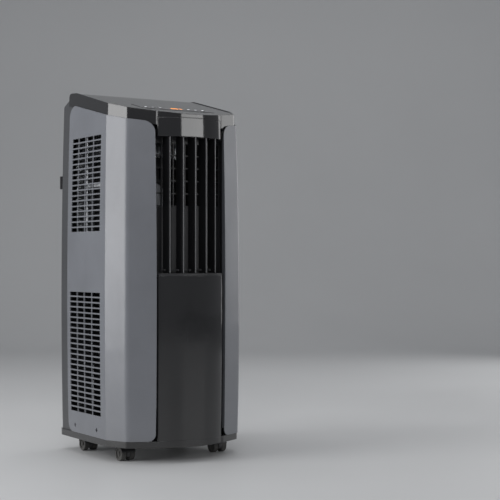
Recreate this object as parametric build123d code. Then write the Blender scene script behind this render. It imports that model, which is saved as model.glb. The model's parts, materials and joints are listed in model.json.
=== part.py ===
from build123d import *
import os
from math import atan2, cos, degrees, radians, sin, sqrt, tan

# Tall cabinet dehumidifier on swivel casters.
# Frame: origin on the floor under the middle of the bounding box, +Z up, front faces -Y, millimetres.

os.makedirs("parts", exist_ok=True)

# ---- overall sizes -------------------------------------------------------------------------------
width = 316.0            # over the grey side panels at their widest
depth = 350.0            # front bow to the exhaust collar's rim
height = 770.0           # floor to the rear edge of the top cover
rear_projection = 15.0   # how far collar and cord hooks stand behind the rear wall

# ---- cabinet outline -----------------------------------------------------------------------------
caster_height = 31.8     # floor to the underside of the base
base_height = 13.6       # base pan, underside to rim
front_half = 81.0        # half the width of the black front, to the grey panels' inner edge
strip_setback = 19.0     # grey inner edge, behind the front bow
soft_crease_in = 23.5    # soft crease, in from the side
soft_crease_back = 48.0  # soft crease, behind the front bow
side_crease_back = 98.0  # crisp crease, behind the front bow
seam_back = 279.0        # rear edge of the grey panels, behind the front bow
rear_corner_r = 22.0     # vertical rear corners
soft_crease_r = 18.0
crisp_crease_r = 2.0
bow_half = 77.5          # half the chord of the bowed black front
bow_depth = 22.0         # bow of the black front over that chord
bow_corner_r = 6.0       # rounded vertical edges of the black front
side_foot_r = 22.0       # grey panels' rounded corners, seen from the side
side_top_r = 25.0
strip_foot_r = 14.0      # and seen from the front
strip_top_r = 24.0
bulge_z = 330.0          # height at which the cabinet is fullest
side_bulge = 5.5         # each side draws in this much at the reference distance
front_bulge = 6.5        # the front draws back this much at the reference distance
bulge_reach = 370.0      # reference distance from bulge_z

# ---- walls and clearances ------------------------------------------------------------------------
panel_wall = 2.5         # grey panels
shell_wall = 2.5         # rear housing and top cover
front_wall = 2.5         # black front pieces
shell_inset = 4.0        # rear housing and top cover, in from the grey face
base_inset = 1.0         # base rim, in from the grey face
base_rim = 5.0           # width of the base rim
base_floor = 3.0
gap = 0.3                # between separate mouldings
run = 0.06               # radial clearance of a running fit
seat = 0.5               # around a lift-out cover

# ---- top -----------------------------------------------------------------------------------------
top_slope = 0.242        # rise of the top over its run
panel_slope = 0.218      # rise of the grey panels' top edge
top_front_drop = 63.5    # top at the front bow, below the overall height
panel_front_drop = 85.0  # grey top edge carried on to the front bow, below the overall height
flat_start = 240.0       # where the top flattens, behind the front bow
top_rear = 293.0         # rear edge of the top cover, behind the front bow
joint_drop = 6.0         # top cover reaches this far down behind the grey edge
lip_height = 5.8         # front lip of the top cover
top_rim = 4.0            # raised rim round the top face
rim_drop = 1.2           # the face lies this far below the rim

# ---- front outlet --------------------------------------------------------------------------------
sill_z = 384.0           # bottom of the outlet
outlet_drop = 108.0      # top of the outlet, below the overall height
sill_thick = 4.0
ledge_thick = 3.0
duct_depth = 50.0        # rear wall of the outlet, behind the front bow
duct_wall = 2.2
guard_z = 520.0          # plain wall below, grid above
guard_pitch = 26.0
guard_bar = 3.0
blade_count = 5
blade_pitch = 26.6
blade_chord = 30.0
blade_thick = 2.4
blade_lead = 13.0        # pivot behind the blade's front edge
blade_setback = 2.5      # middle blade's front edge, behind the front bow
blade_arc_r = 135.0      # front edges lie on this arc
blade_end_gap = 1.0
pivot_r = 2.0
crank_back = 12.0        # crank pin behind the pivot
crank_r = 1.6
link_thick = 2.0
link_width = 6.0
crank_notch = 8.5        # clearance for the tie bar, ahead of the crank pin
link_up = 6.0            # tie bar above the sill
louver_motor_r = 11.0
louver_motor_height = 16.0

# ---- side grilles --------------------------------------------------------------------------------
slot_height = 8.2
slot_pitch = 11.15
slot_bar = 2.4
grille_dividers = (160.0, 196.0, 230.0)   # behind the front bow
upper_grille = (471.0, 18, 123.5, 260.0)  # first slot's underside, rows, front edge, rear edge
lower_grille = (90.5, 23, 121.0, 265.0)
screw_z = 60.4
screw_backs = (142.0, 245.0)
screw_r = 2.0
screw_head_r = 3.8

# ---- controls ------------------------------------------------------------------------------------
panel_half = 84.0
panel_front = 68.0       # behind the front bow, along the floor
panel_length = 62.0
panel_thick = 1.5
panel_sink = 1.0
key_r = 6.0
key_pitch = 17.0
key_first = 34.0         # first key from the middle
key_v = 24.0             # keys up the slope from the panel's front edge
key_stroke = 1.0
key_proud = 0.4
display_size = (44.0, 16.0)
board_depth = 13.0       # control board under the top's face
board_thick = 1.6

# ---- inside --------------------------------------------------------------------------------------
tray_z = 372.0           # underside of the drip tray
tray_floor = 3.0
tray_rim = 9.0
frame_posts = (132.0, 207.5)
frame_post_w = 9.0
frame_thick = 3.0
frame_bar_z = 568.0
coil_depth = 30.0
fin_pitch = 7.0
fin_thick = 1.2
blower_r = 78.0
blower_z = 545.0
blower_len = 46.0
fan_r = 60.0
fan_z = 290.0
compressor_r = 48.0
compressor_h = 190.0
shaft_r = 4.0
motor_r = 34.0
motor_len = 36.0

# ---- rear ----------------------------------------------------------------------------------------
intake_half = 104.0
intake_z = (440.0, 700.0)
collar_r = 70.0          # bore of the exhaust collar
collar_wall = 3.5
collar_len = 35.0
collar_flange = 11.0
drain_r = 6.0
drain_wall = 3.0
hook_z = 581.0
hook_height = 28.0
hook_x = 104.0
hook_reach = 39.0
gland_r = 3.75

# ---- casters -------------------------------------------------------------------------------------
wheel_r = 15.0
wheel_w = 11.0
web_w = 8.0
trail = 9.0
axle_r = 3.0
stem_r = 4.0
stem_len = 12.0
caster_in = 48.0         # caster axis, in from the side
caster_backs = (92.0, 265.0)

# ---- worked out ----------------------------------------------------------------------------------
half = width / 2
front_y = -depth / 2
rear_y = depth / 2 - rear_projection
seam_y = front_y + seam_back
rim_z = caster_height + base_height
floor_z = caster_height + base_floor
outlet_z = height - outlet_drop
tilt = degrees(atan2(top_slope, 1.0))
tray_top = tray_z + tray_floor
frame_x = half - base_inset - base_rim - side_bulge - frame_thick - gap


def block(x0, x1, y0, y1, z0, z1):
    """A box between two corners."""
    size = Box(abs(x1 - x0), abs(y1 - y0), abs(z1 - z0))
    return Pos((x0 + x1) / 2, (y0 + y1) / 2, (z0 + z1) / 2) * size


def rod(radius, x, y, z0, z1):
    """An upright cylinder."""
    return Pos(x, y, (z0 + z1) / 2) * Cylinder(radius, abs(z1 - z0))


def rod_y(radius, x, z, y0, y1):
    """A cylinder along Y."""
    return Pos(x, (y0 + y1) / 2, z) * Rot(90, 0, 0) * Cylinder(radius, abs(y1 - y0))


def rod_x(radius, y, z, x0, x1):
    """A cylinder along X."""
    return Pos((x0 + x1) / 2, y, z) * Rot(0, 90, 0) * Cylinder(radius, abs(x1 - x0))


def save(shape, node):
    export_step(shape, f"parts/{node}.step")


def draw_in(x, y, z):
    """A plan point moved in by the cabinet's fullness at height z."""
    share = ((z - bulge_z) / bulge_reach) ** 2
    new_x = x * (1 - side_bulge * share / half)
    new_y = y
    if y < seam_y:
        new_y = seam_y + (y - seam_y) * (1 - front_bulge * share / seam_back)
    return (new_x, new_y, z)


def shrink(points, inset):
    """A convex outline, counter-clockwise, with every edge moved in by inset."""
    lines = []
    count = len(points)
    for i in range(count):
        ax, ay = points[i]
        bx, by = points[(i + 1) % count]
        length = sqrt((bx - ax) ** 2 + (by - ay) ** 2)
        nx, ny = -(by - ay) / length, (bx - ax) / length
        lines.append((nx, ny, nx * ax + ny * ay + inset))
    moved = []
    for i in range(count):
        a1, b1, c1 = lines[i - 1]
        a2, b2, c2 = lines[i]
        det = a1 * b2 - a2 * b1
        moved.append(((c1 * b2 - c2 * b1) / det, (a1 * c2 - a2 * c1) / det))
    return moved


low_z = caster_height - 5
high_z = height + 5
sections = (low_z, bulge_z, high_z)


def cabinet(inset):
    """The cabinet's full body, every wall moved in by inset."""
    right = [
        (front_half, front_y + strip_setback),
        (half - soft_crease_in, front_y + soft_crease_back),
        (half, front_y + side_crease_back),
        (half, rear_y + shell_inset),
    ]
    outline = shrink(right + [(-x, y) for x, y in reversed(right)], inset)
    rear_r = rear_corner_r + shell_inset - inset
    half_radii = [2.0, soft_crease_r, crisp_crease_r, rear_r]
    radii = half_radii + half_radii[::-1]
    faces = []
    for z in sections:
        corners = [draw_in(x, y, z) for x, y in outline]
        faces.append(make_face(FilletPolyline(*corners, radius=radii, close=True)))
    return loft(faces)


def bow(inset):
    """The bowed black front, from its face back to behind the grey panels' inner edges."""
    faces = []
    back = front_y + duct_depth - 5
    for z in sections:
        p_left = draw_in(inset - bow_half, front_y + bow_depth + inset * 0.8, z)[:2]
        p_apex = draw_in(0, front_y + inset, z)[:2]
        p_right = (-p_left[0], p_left[1])
        arc = ThreePointArc(p_left, p_apex, p_right)
        sides = Polyline(p_right, (p_right[0], back), (p_left[0], back), p_left)
        face = make_face([arc, sides])
        corners = face.vertices().sort_by(Axis.Y)[0:2]
        faces.append(Pos(0, 0, z) * fillet(corners, bow_corner_r - inset))
    return loft(faces)


def under(points, x0, x1):
    """A side profile of (y, z) points, run across the cabinet from x0 to x1."""
    face = make_face(Polyline(*[(x0, y, z) for y, z in points], close=True))
    return extrude(face, amount=x1 - x0, dir=(1, 0, 0))


def rounded(face, rounds):
    """A flat outline with the corners nearest the given points rounded."""
    for point, radius in rounds:
        near = face.vertices().sort_by_distance(Vector(*point))[0]
        face = fillet([near], radius)
    return face


def top_z(y):
    """Height of the sloped top at y."""
    back = min(y - front_y, flat_start)
    return height - top_front_drop + top_slope * back


def grey_z(y):
    """Height of the grey panels' top edge at y."""
    return height - panel_front_drop + panel_slope * (y - front_y)


outer_body = cabinet(0)
outer_inner = cabinet(panel_wall)
shell_body = cabinet(shell_inset)
shell_inner = cabinet(shell_inset + shell_wall)
front_body = bow(0)
front_inner = bow(front_wall)

# ---- base pan: rim under all the walls, floor, stem sockets, screw tabs --------------------------
base_outer = cabinet(base_inset) + bow(0)
base_inner = cabinet(base_inset + base_rim) + bow(base_rim - 0.5)
base_band = block(-width, width, -depth, depth, caster_height, rim_z)
base_well = block(-width, width, -depth, depth, floor_z, rim_z + 1)
base_band = base_band & block(-width, width, -depth, rear_y, 0, height)
base_pan = (base_outer & base_band) - (base_inner & base_well)
caster_spots = []
for caster_x in (-half + caster_in, half - caster_in):
    for back in caster_backs:
        caster_spots.append((caster_x, front_y + back))
for x, y in caster_spots:
    base_pan += rod(stem_r + 4, x, y, caster_height, caster_height + stem_len + 2)
    base_pan -= rod(stem_r + run, x, y, caster_height - 1, caster_height + stem_len + 0.5)
tab_out = draw_in(half, 0, floor_z)[0] - panel_wall - gap
for side in (-1, 1):
    for back in screw_backs:
        y = front_y + back
        tab = block(side * (tab_out - 4), side * tab_out, y - 8, y + 8, floor_z, screw_z + 8)
        base_pan += tab - rod_x(screw_r, y, screw_z, side * (tab_out - 5), side * (tab_out + 1))
save(base_pan, "base_pan")

# ---- grey side panels: side, corner facet and front strip in one piece ---------------------------
strip_y = front_y + strip_setback
side_profile = [
    (0, front_y - 5, rim_z),
    (0, seam_y, rim_z),
    (0, seam_y, grey_z(seam_y)),
    (0, front_y - 5, grey_z(front_y - 5)),
]
side_face = make_face(Polyline(*side_profile, close=True))
side_face = rounded(side_face, [(side_profile[1], side_foot_r), (side_profile[2], side_top_r)])
side_span = extrude(side_face, amount=half + 5, dir=(1, 0, 0))
strip_top = (front_half, 0, grey_z(strip_y))
strip_foot = (front_half, 0, rim_z)
crease_x = half - soft_crease_in
crease_top = (crease_x, 0, grey_z(front_y + soft_crease_back) + 5)
above = height + 40
strip_face = make_face(Polyline(
    strip_foot, (half + 5, 0, rim_z), (half + 5, 0, above), (crease_x + 20, 0, above),
    crease_top, strip_top, close=True))
strip_face = rounded(strip_face, [(strip_top, strip_top_r), (strip_foot, strip_foot_r)])
strip_span = extrude(strip_face, amount=depth + 20, dir=(0, 1, 0)).moved(Pos(0, front_y - 10, 0))
side_wall = (outer_body - outer_inner) & side_span & strip_span
lip_back = strip_y + 14
lip = block(front_half, front_half + panel_wall, strip_y + 1.5, lip_back, rim_z + 16, grey_z(strip_y) - 28)
side_wall += lip & outer_body
slots = []
for low, rows, first, last in (upper_grille, lower_grille):
    edges = [first - slot_bar / 2]
    for divider in grille_dividers:
        edges.append(divider)
    edges.append(last + slot_bar / 2)
    for row in range(rows):
        z = low + row * slot_pitch
        for near, far in zip(edges, edges[1:]):
            y0 = front_y + near + slot_bar / 2
            y1 = front_y + far - slot_bar / 2
            slots.append(block(half - 15, half + 5, y0, y1, z, z + slot_height))
side_wall -= slots
for back in screw_backs:
    y = front_y + back
    side_wall -= rod_x(screw_head_r + gap, y, screw_z, half - 15, half + 5)
save(side_wall, "right_side_panel")
save(mirror(side_wall, about=Plane.YZ), "left_side_panel")

# ---- screws through the grey panels into the base's tabs -----------------------------------------
side_screws = []
for side in (-1, 1):
    for back in screw_backs:
        y = front_y + back
        screw = rod_x(screw_r - run, y, screw_z, side * (tab_out - 7), side * tab_out)
        screw += rod_x(screw_head_r, y, screw_z, side * tab_out, side * (tab_out + 1.4))
        side_screws.append(screw)

# ---- rear housing: rear wall, rounded corners, shoulder under the top cover ----------------------
lap = 8.0                # runs this far forward behind the grey panels
shoulder_rise = 12.0
shoulder_fall = 8.0
top_rear_y = front_y + top_rear


def rear_outline(inset):
    """Side profile of the rear housing's top and back, moved in by inset."""
    joint = grey_z(top_rear_y) - joint_drop
    return [
        (seam_y - lap, rim_z),
        (rear_y + 5, rim_z),
        (rear_y + 5, joint - shoulder_fall - 6 - inset),
        (rear_y - 6, joint - shoulder_fall + 4 - inset),
        (top_rear_y + gap, joint + shoulder_rise - inset),
        (top_rear_y + gap, grey_z(top_rear_y) - joint_drop - inset),
        (seam_y - lap, grey_z(seam_y - lap) - joint_drop - inset),
    ]


rear_outer = shell_body & under(rear_outline(0), -half, half)
rear_inner = shell_inner & under(rear_outline(shell_wall), -half, half)
rear_housing = rear_outer - rear_inner
open_top = block(-half, half, seam_y - lap - 1, seam_y + 10, grey_z(seam_y - lap) - 40, height)
rear_housing -= open_top & shell_inner
intake_low, intake_high = intake_z[0], height - (770.0 - intake_z[1])
intake_gap_z = (intake_low - seat, intake_high + seat)
wall_in = rear_y - shell_wall - 1
rear_housing -= block(-intake_half - seat, intake_half + seat, wall_in, rear_y + 1, *intake_gap_z)
rear_housing -= rod_y(collar_r + collar_wall + gap, 0, fan_z, wall_in, rear_y + 1)
lower_rows = 9
lower_first = 80.0
for row in range(lower_rows):
    z = lower_first + row * slot_pitch
    for x0, x1 in ((-70, -27), (-22, 22), (27, 70)):
        rear_housing -= block(x0, x1, wall_in, rear_y + 1, z, z + slot_height)
gland_x, gland_z = -104.0, 92.0
rear_housing -= rod_y(gland_r + 2.2, gland_x, gland_z, wall_in, rear_y + 1)
drain_spots = ((96.0, 396.0), (96.0, 66.0))
for x, z in drain_spots:
    rear_housing += rod_y(drain_r + drain_wall, x, z, rear_y - 12, rear_y + 5)
    rear_housing -= rod_y(drain_r, x, z, rear_y - 13, rear_y + 6)
rear_screw_spots = []
for x in (-112.0, 112.0):
    for z in (140.0, 420.0, intake_high + 12):
        rear_screw_spots.append((x, z))
for x, z in rear_screw_spots:
    rear_housing -= rod_y(screw_r + gap, x, z, wall_in, rear_y + 1)
save(rear_housing, "rear_housing")

rear_screws = []
for x, z in rear_screw_spots:
    screw = rod_y(screw_r, x, z, rear_y - 10, rear_y)
    rear_screws.append(screw + rod_y(screw_head_r, x, z, rear_y, rear_y + 1.6))
save(Compound(children=side_screws), "side_screws")
save(Compound(children=rear_screws), "rear_screws")

# ---- rear intake cover with its filter -----------------------------------------------------------
cover = block(-intake_half, intake_half, rear_y - 4, rear_y, intake_low, intake_high)
cover_rows = int((intake_high - intake_low - 24) / slot_pitch)
cover_cuts = []
column = (2 * intake_half - 24) / 4
for row in range(cover_rows):
    z = intake_low + 13 + row * slot_pitch
    for number in range(4):
        x0 = -intake_half + 12 + number * column + 2
        cover_cuts.append(block(x0, x0 + column - 4, rear_y - 5, rear_y + 1, z, z + slot_height))
cover -= cover_cuts
for x in (-60.0, 60.0):
    cover += block(x - 16, x + 16, rear_y, rear_y + 5, intake_high - 9, intake_high - 5)
save(cover, "intake_cover")
filter_half = intake_half - 4
filter_low, filter_high = intake_low + 4, intake_high - 4
filter_frame = block(-filter_half, filter_half, rear_y - 9, rear_y - 4, filter_low, filter_high)
filter_cuts = []
filter_column = (2 * filter_half - 4) / 3
filter_row = (filter_high - filter_low - 4) / 4
for i in range(3):
    for j in range(4):
        x0 = -filter_half + 4 + i * filter_column
        z0 = filter_low + 4 + j * filter_row
        x1 = x0 + filter_column - 4
        z1 = z0 + filter_row - 4
        filter_cuts.append(block(x0, x1, rear_y - 9, rear_y - 7, z0, z1))
        filter_cuts.append(block(x0, x1, rear_y - 6.2, rear_y - 4, z0, z1))
filter_frame -= filter_cuts
save(filter_frame, "air_filter")

# ---- exhaust collar, drain plugs, cord hooks, cord gland -----------------------------------------
collar_y0 = depth / 2 - collar_len
collar = rod_y(collar_r + collar_wall, 0, fan_z, collar_y0, depth / 2)
collar += rod_y(collar_r + collar_flange, 0, fan_z, rear_y, rear_y + 3)
collar -= rod_y(collar_r, 0, fan_z, collar_y0 - 1, depth / 2 + 1)
save(collar, "exhaust_collar")
for (x, z), node in zip(drain_spots, ("upper_drain_plug", "lower_drain_plug")):
    plug = rod_y(drain_r - run, x, z, rear_y - 9, rear_y + 5)
    plug += rod_y(drain_r + drain_wall, x, z, rear_y + 5, rear_y + 8.5)
    plug += block(x - 2, x + 2, rear_y + 8.5, rear_y + 13, z - 6, z + 6)
    save(plug, node)
hook_low, hook_high = hook_z - hook_height / 2, hook_z + hook_height / 2
for side, node in ((-1, "left_cord_hook"), (1, "right_cord_hook")):
    x0, x1 = side * (hook_x + 3), side * (hook_x + hook_reach)
    hook = block(x0, side * (hook_x + 17), rear_y, depth / 2, hook_low, hook_high)
    hook += block(x0, x1, depth / 2 - 4, depth / 2, hook_low, hook_high)
    hook += block(x1 - side * 4, x1, depth / 2 - 7, depth / 2, hook_low, hook_high)
    save(hook, node)
gland = rod_y(gland_r + 2, gland_x, gland_z, rear_y - 8, rear_y + 8)
gland += rod_y(gland_r + 5, gland_x, gland_z, rear_y, rear_y + 3)
gland -= rod_y(gland_r, gland_x, gland_z, rear_y - 9, rear_y + 9)
save(gland, "cord_gland")

# ---- top cover -----------------------------------------------------------------------------------
def cover_outline(drop):
    """Side profile of the top cover, its upper faces lowered by drop."""
    flat_y = front_y + flat_start
    low = top_z(flat_y)
    rear = top_rear_y - drop
    return [
        (front_y - 8, grey_z(front_y - 8) - joint_drop),
        (rear, grey_z(rear) - joint_drop),
        (rear, height - 6 - drop),
        (rear - 3, height - 1.5 - drop),
        (rear - 8, height - drop),
        (rear - 14, height - drop),
        (flat_y + 18, low + 4 - drop),
        (flat_y, low - drop),
        (front_y - 8, low - drop - top_slope * (flat_start + 8)),
    ]


bow_front = front_y + duct_depth
bow_keep = block(-half, half, front_y - 5, bow_front, 0, height + 10)
cover_plan_outer = shell_body + (front_body & bow_keep)
cover_plan_inner = shell_inner + (front_inner & bow_keep)
top_outer = cover_plan_outer & under(cover_outline(0), -half, half)
top_inner = cover_plan_inner & under(cover_outline(shell_wall + rim_drop), -half, half)
below = under([(y, z - 8) for y, z in cover_outline(0)[:2]] + [
    (top_rear_y - 2 * shell_wall, grey_z(top_rear_y) - joint_drop + 1),
    (front_y - 8, grey_z(front_y - 8) - joint_drop + 1)], -half, half)
top_cover = top_outer - top_inner - (below & cover_plan_inner)
lip_z = top_z(front_y) - lip_height
band_back = front_y + duct_depth
band_side = draw_in(bow_half, 0, lip_z)[0] + gap
top_cover -= block(-band_side, band_side, front_y - 8, band_back, 0, lip_z)
face_plan = cabinet(shell_inset + top_rim) + (bow(top_rim) & bow_keep)
face_profile = [
    (front_y - 8, top_z(front_y) - top_slope * 8 - rim_drop),
    (front_y + flat_start, top_z(front_y + flat_start) - rim_drop),
    (front_y + flat_start + 18, top_z(front_y + flat_start) + 4 - rim_drop),
    (top_rear_y - 14, height - rim_drop),
    (top_rear_y - 8 - top_rim, height - rim_drop),
    (top_rear_y - 8 - top_rim, height + 8),
    (front_y - 8, height + 8),
]
top_cover -= face_plan & under(face_profile, -half, half)

slope = Pos(0, front_y + panel_front, top_z(front_y + panel_front) - rim_drop) * Rot(tilt, 0, 0)


def on_slope(shape):
    """Place a shape drawn on the top's own plane: x across, y up the slope, z out of it."""
    return slope * shape


key_spots = []
for side in (-1, 1):
    for number in range(3):
        key_spots.append((side * (key_first + number * key_pitch), key_v))
panel_flat = block(-panel_half, panel_half, 0, panel_length, -panel_sink, panel_thick - panel_sink)
panel_flat = fillet(panel_flat.edges().filter_by(Axis.Z), 5.0)
panel_seat = block(-panel_half - gap, panel_half + gap, -gap, panel_length + gap, -panel_sink, 5)
display_w, display_h = display_size
display_v = key_v
display_hole = block(-display_w / 2 - gap, display_w / 2 + gap,
                     display_v - display_h / 2 - gap, display_v + display_h / 2 + gap, -panel_sink, 5)
top_cover -= on_slope(panel_seat)
key_holes = []
for u, v in key_spots:
    key_holes.append(rod(key_r + gap, u, v, -shell_wall - 2, 5))
for hole in key_holes:
    top_cover -= on_slope(hole)
    panel_flat -= hole
panel_flat -= display_hole
save(top_cover, "top_cover")
save(on_slope(panel_flat), "control_panel")
display = block(-display_w / 2, display_w / 2, display_v - display_h / 2, display_v + display_h / 2,
                -panel_sink, panel_thick - panel_sink)
save(on_slope(display), "display_window")
cover_under = -shell_wall / cos(radians(tilt))
flange_top = cover_under - 0.3
for number, (u, v) in enumerate(key_spots, start=1):
    key = rod(key_r, u, v, flange_top - 1.5, panel_thick - panel_sink + key_proud)
    key += rod(key_r + 1.6, u, v, flange_top - 1.5, flange_top)
    key += rod(2.0, u, v, board_thick - board_depth + key_stroke + 0.2, flange_top - 1.5)
    save(on_slope(key), f"key_{number}")
board = block(-panel_half + 6, panel_half - 6, 4, panel_length - 4, -board_depth, board_thick - board_depth)
for u in (-panel_half + 12, panel_half - 12):
    for v in (10, panel_length - 10):
        board += rod(3.0, u, v, board_thick - board_depth, cover_under)
save(on_slope(board), "control_board")

# ---- black front: upper band, outlet duct with sill, guard, lower panel --------------------------
front_shell = front_body - front_inner
ledge_top = outlet_z + ledge_thick
band_top = lip_z - gap
band_keep = block(-half, half, front_y - 5, front_y + duct_depth - 5, outlet_z, band_top)
front_band = front_shell & band_keep
front_band += front_inner & block(-half, half, front_y - 5, front_y + duct_depth - 5, outlet_z, ledge_top)

pivots = []
middle = (blade_count - 1) / 2
for number in range(blade_count):
    x = (number - middle) * blade_pitch
    arc_back = blade_arc_r - sqrt(blade_arc_r ** 2 - x ** 2)
    pivots.append((x, front_y + blade_setback + arc_back + blade_lead))
for x, y in pivots:
    front_band -= rod(pivot_r + run, x, y, outlet_z - 1, ledge_top + 1)
save(front_band, "front_band")

duct_y = front_y + duct_depth
sill_low = sill_z - sill_thick
duct_x = front_half + panel_wall + gap
outlet_duct = front_body & block(-half, half, front_y - 5, duct_y, sill_low, sill_z)
duct_front = lip_back + 2
wall_front = strip_y + panel_wall + front_bulge + 6
outlet_duct += block(-duct_x - duct_wall, duct_x + duct_wall, duct_front, duct_y, sill_low, sill_z)
for side in (-1, 1):
    outlet_duct += block(side * duct_x, side * (duct_x + duct_wall), wall_front, duct_y, sill_low, outlet_z)
outlet_duct += block(-duct_x, duct_x, duct_y - duct_wall, duct_y, sill_z, guard_z)
outlet_duct += block(-duct_x, duct_x, duct_y - duct_wall, duct_y, outlet_z - 6, outlet_z)
for x, y in pivots:
    outlet_duct -= rod(pivot_r + run, x, y, sill_low - 1, sill_z + 1)
save(outlet_duct, "outlet_duct")

guard_top = outlet_z - 6 - gap
guard = block(-duct_x + gap, duct_x - gap, duct_y - guard_bar, duct_y, guard_z + gap, guard_top)
guard_cuts = []
guard_rows = int((guard_top - guard_z) / guard_pitch)
guard_cols = 6
col_pitch = (2 * duct_x - 2 * gap - guard_bar) / guard_cols
for row in range(guard_rows + 1):
    z0 = guard_z + gap + guard_bar + row * guard_pitch
    z1 = min(z0 + guard_pitch - guard_bar, guard_top - guard_bar)
    if z1 - z0 < 4:
        continue
    for col in range(guard_cols):
        x0 = -duct_x + gap + guard_bar + col * col_pitch
        guard_cuts.append(block(x0, x0 + col_pitch - guard_bar, duct_y - 5, duct_y + 1, z0, z1))
guard -= guard_cuts
save(guard, "outlet_guard")

lower_panel = front_shell & block(-half, half, front_y - 5, duct_y - 5, rim_z, sill_low)
save(lower_panel, "front_lower_panel")

# ---- louver blades, tie bar and motor ------------------------------------------------------------
blade_low = sill_z + blade_end_gap
blade_high = outlet_z - blade_end_gap
link_z = sill_z + link_up
crank_slot = 1.2
for number, (x, y) in enumerate(pivots, start=1):
    front_edge = y - blade_lead
    rear_edge = front_edge + blade_chord
    crank_y = y + crank_back
    blade = block(x - blade_thick / 2, x + blade_thick / 2, front_edge, rear_edge, blade_low, blade_high)
    blade = fillet(blade.edges().filter_by(Axis.Z), blade_thick * 0.42)
    blade -= block(x - 5, x + 5, crank_y - crank_notch, rear_edge + 1,
                   link_z - crank_slot, link_z + link_thick + crank_slot)
    blade += rod(crank_r, x, crank_y, link_z - crank_slot, link_z + link_thick + crank_slot)
    pin_low = sill_low - 6 if number == middle + 1 else sill_low + 0.5
    blade += rod(pivot_r, x, y, pin_low, blade_low)
    blade += rod(pivot_r, x, y, blade_high, ledge_top - 0.3)
    save(blade, f"louver_blade_{number}")
link = None
cranks = [(x, y + crank_back) for x, y in pivots]
for (xa, ya), (xb, yb) in zip(cranks, cranks[1:]):
    length = sqrt((xb - xa) ** 2 + (yb - ya) ** 2)
    bar = Box(length, link_width, link_thick)
    turn = degrees(atan2(yb - ya, xb - xa))
    piece = Pos((xa + xb) / 2, (ya + yb) / 2, link_z + link_thick / 2) * Rot(0, 0, turn) * bar
    link = piece if link is None else link + piece
for x, y in cranks:
    link += rod(link_width / 2, x, y, link_z, link_z + link_thick)
for x, y in cranks:
    link -= rod(crank_r + gap, x, y, link_z - 1, link_z + link_thick + 1)
save(link, "louver_tie_bar")
mid_x, mid_y = pivots[int(middle)]
motor_top = sill_low
louver_motor = rod(louver_motor_r, mid_x, mid_y, motor_top - louver_motor_height, motor_top)
louver_motor -= rod(pivot_r + run, mid_x, mid_y, motor_top - 8, motor_top + 1)
save(louver_motor, "louver_motor")

# ---- drip tray between the two air paths ---------------------------------------------------------
tray_front = duct_y + 1
tray_rear = rear_y - 14
tray = block(-frame_x, frame_x, tray_front, tray_rear, tray_z, tray_z + tray_rim)
tray = tray & shell_inner
tray -= block(3 - frame_x, frame_x - 3, tray_front + 3, tray_rear - 3, tray_top, tray_z + tray_rim + 1)
pipe_spots = ((124.0, -60.0), (124.0, -40.0))
for x, y in pipe_spots:
    tray -= rod(5.0, x, y, tray_z - 1, tray_top + 1)
save(tray, "drip_tray")

# ---- inner frames beside the grilles -------------------------------------------------------------
for side, node in ((-1, "left_inner_frame"), (1, "right_inner_frame")):
    x0, x1 = side * frame_x, side * (frame_x + frame_thick)
    frame_top = grey_z(front_y + frame_posts[0]) - 22
    y_first = front_y + frame_posts[0] - frame_post_w / 2
    y_last = front_y + frame_posts[1] + frame_post_w / 2
    frame = block(x0, x1, y_first, y_last, tray_z, tray_z + tray_rim)
    frame += block(x0, x1, y_first, y_last, frame_top - 12, frame_top)
    frame += block(x0, x1, y_first, y_last, frame_bar_z - 4.5, frame_bar_z + 4.5)
    for back in frame_posts:
        y = front_y + back
        frame += block(x0, x1, y - frame_post_w / 2, y + frame_post_w / 2, tray_z, frame_top)
    save(frame, node)


# ---- coils ---------------------------------------------------------------------------------------
def coil(x_half, y0, z0, z1):
    """A finned coil standing on z0, with end plates and return bends."""
    fins = int(2 * x_half / fin_pitch) - 1
    y_mid = y0 + coil_depth / 2
    body = block(-x_half + 3, x_half - 3, y_mid - 0.8, y_mid + 0.8, z0, z1)
    blades = []
    for number in range(fins):
        x = (number - (fins - 1) / 2) * fin_pitch
        blades.append(block(x - fin_thick / 2, x + fin_thick / 2, y0, y0 + coil_depth, z0, z1))
    body += blades
    for side in (-1, 1):
        body += block(side * (x_half - 4), side * (x_half - 2), y0 - 1, y0 + coil_depth + 1, z0, z1)
    bends = int((z1 - z0 - 20) / 24)
    for side in (-1, 1):
        for number in range(bends):
            z = z0 + 14 + number * 24
            ring = Pos(side * (x_half - 2), y_mid, z + 6) * Rot(90, 0, 0) * Torus(6.0, 2.5)
            keep = block(side * (x_half - 3), side * (x_half + 12), y0, y0 + coil_depth, z0, z1)
            body += ring & keep
    return body


evap_y = rear_y - 14 - 3 - coil_depth - 2
evap_top = grey_z(evap_y) - 44
save(coil(frame_x - 22, evap_y, tray_top, evap_top), "evaporator_coil")
cond_y = front_y + 165
save(coil(frame_x - 22, cond_y, floor_z, tray_z - gap), "condenser_coil")

# ---- room-air blower -----------------------------------------------------------------------------
case_y1 = evap_y - 3
case_y0 = case_y1 - blower_len - 14
case_half = blower_r + 14
case_low = tray_top
case_high = blower_z + case_half
casing = block(-case_half, case_half, case_y0, case_y1, case_low, case_high)
casing = fillet(casing.edges().filter_by(Axis.Y).sort_by(Axis.Z)[-2:], 30.0)
casing -= rod_y(blower_r + 8, 0, blower_z, case_y0 + 3, case_y1 - 3)
casing -= rod_y(blower_r - 16, 0, blower_z, case_y1 - 10, case_y1 + 1)
casing -= block(-40, 40, case_y0 - 1, case_y0 + 20, blower_z + 40, blower_z + 70)
casing -= rod_y(shaft_r + 2, 0, blower_z, case_y0 - 1, case_y0 + 5)
pocket_x = case_half - 4
casing -= block(-pocket_x, pocket_x, case_y0 + 4, case_y1 - 4, case_low + 4, blower_z - blower_r - 14)
save(casing, "blower_casing")

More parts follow.
